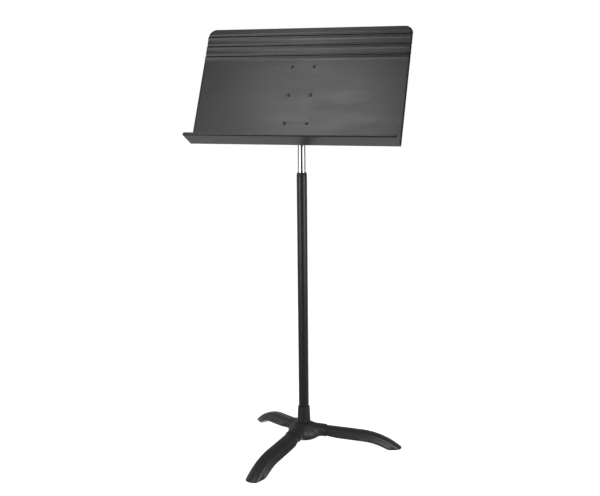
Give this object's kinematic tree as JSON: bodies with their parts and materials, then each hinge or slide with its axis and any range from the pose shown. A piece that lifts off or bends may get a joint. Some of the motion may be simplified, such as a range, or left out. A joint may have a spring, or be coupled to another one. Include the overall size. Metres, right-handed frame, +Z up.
{
  "type": "music stand",
  "caption": "Free-standing music stand with a ribbed sheet desk and ledge on a tilting head, a sliding and turning mast in a column tube, and a cast hub with bent legs.",
  "frame": {"origin": "the column's axis where it meets the floor that the feet stand on", "axes": "+Z up along the column's axis, +X along the desk's width, -Y the way the desk faces the reader"},
  "size_m": [0.508, 0.4191, 1.0353],
  "materials": {
    "black_powder_coat_aluminium": "satin black powder coat on folded aluminium sheet",
    "black_powder_coat_steel": "satin black powder coat on steel",
    "black_cast_hub": "satin black powder coat on a casting",
    "black_rivet": "black painted rivet",
    "zinc_plate": "zinc plated steel",
    "spring_steel": "spring steel",
    "cast_zinc_head": "black painted casting",
    "chrome": "bright chrome plate on steel tube",
    "nylon": "natural nylon",
    "black_nylon": "black moulded nylon",
    "foot_rubber": "black rubber"
  },
  "bodies": {
    "base": {"hub": "black_cast_hub", "column_sleeve": "black_nylon", "outer_tube": "black_powder_coat_steel", "top_bushing": "black_nylon", "tube_plug": "zinc_plate", "hub_bolt": "zinc_plate", "hub_washer": "zinc_plate", "leg_screws": "zinc_plate", "leg_nuts": "zinc_plate", "leg_front": "black_powder_coat_steel", "leg_right": "black_powder_coat_steel", "leg_rear": "black_powder_coat_steel", "foot_pad_front": "foot_rubber", "foot_pad_right": "foot_rubber", "foot_pad_rear": "foot_rubber"},
    "clutch": {"clutch_sleeve": "nylon", "clutch_spring": "spring_steel"},
    "mast": {"inner_tube": "chrome", "clutch_plug": "nylon", "plug_pin": "spring_steel", "retaining_ring": "spring_steel", "tilt_head": "cast_zinc_head", "head_pin": "spring_steel", "friction_washers": "nylon"},
    "desk": {"desk_panel": "black_powder_coat_aluminium", "desk_rivets": "black_rivet", "desk_bracket": "black_powder_coat_steel", "pivot_bolt": "zinc_plate", "pivot_nut": "zinc_plate", "pivot_washers": "zinc_plate", "spring_washers": "spring_steel"}
  },
  "joints": [
    {"name": "height_slide", "type": "slide", "parent": "base", "child": "clutch", "axis": [0, 0, 1], "range_m": [-0.08, 0.4]},
    {"name": "mast_turn", "type": "hinge", "parent": "clutch", "child": "mast", "pos_m": [0, 0, 0], "axis": [0, 0, 1], "continuous": true},
    {"name": "desk_tilt", "type": "hinge", "parent": "mast", "child": "desk", "pos_m": [0, 0, 0.831], "axis": [-1, 0, 0], "range_deg": [-27.1, 62.9]}
  ]
}
